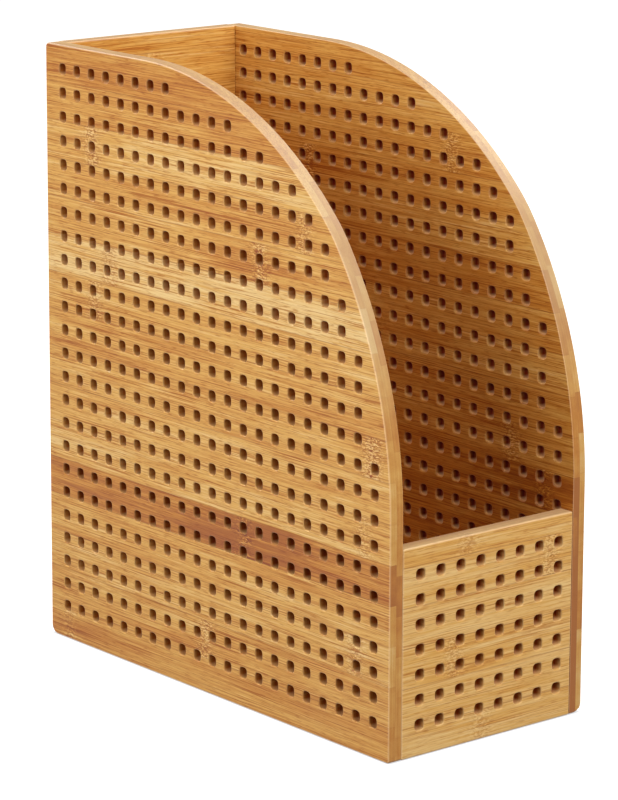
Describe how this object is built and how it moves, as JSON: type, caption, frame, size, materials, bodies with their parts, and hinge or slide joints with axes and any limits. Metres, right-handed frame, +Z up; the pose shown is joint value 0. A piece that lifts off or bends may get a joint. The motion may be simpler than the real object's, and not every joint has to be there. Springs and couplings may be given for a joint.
{
  "type": "magazine file holder",
  "caption": "Open-topped bamboo magazine holder with perforated side panels cut down in a curve to a low perforated front panel, a plain back and a dowelled base.",
  "frame": {"origin": "middle of the rectangle the holder stands on, on the supporting surface", "axes": "+Z up, front panel towards -Y, +X to the right seen from the front"},
  "size_m": [0.12, 0.26, 0.3],
  "materials": {
    "bamboo_sides": "satin clear lacquer over caramelised bamboo, grain along the depth",
    "bamboo_front": "satin clear lacquer over light bamboo, grain across the width",
    "bamboo_back": "satin clear lacquer over caramelised bamboo, grain across the width",
    "bamboo_base": "satin clear lacquer over caramelised bamboo, grain along the depth",
    "dowel_wood": "plain turned wood, glued in"
  },
  "bodies": {
    "root": {"left_side_panel": "bamboo_sides", "right_side_panel": "bamboo_sides", "front_panel": "bamboo_front", "back_panel": "bamboo_back", "base_panel": "bamboo_base", "left_front_dowel_1": "dowel_wood", "left_front_dowel_2": "dowel_wood", "left_front_dowel_3": "dowel_wood", "left_back_dowel_1": "dowel_wood", "left_back_dowel_2": "dowel_wood", "left_back_dowel_3": "dowel_wood", "left_back_dowel_4": "dowel_wood", "left_base_dowel_1": "dowel_wood", "left_base_dowel_2": "dowel_wood", "left_base_dowel_3": "dowel_wood", "right_front_dowel_1": "dowel_wood", "right_front_dowel_2": "dowel_wood", "right_front_dowel_3": "dowel_wood", "right_back_dowel_1": "dowel_wood", "right_back_dowel_2": "dowel_wood", "right_back_dowel_3": "dowel_wood", "right_back_dowel_4": "dowel_wood", "right_base_dowel_1": "dowel_wood", "right_base_dowel_2": "dowel_wood", "right_base_dowel_3": "dowel_wood"}
  },
  "joints": []
}
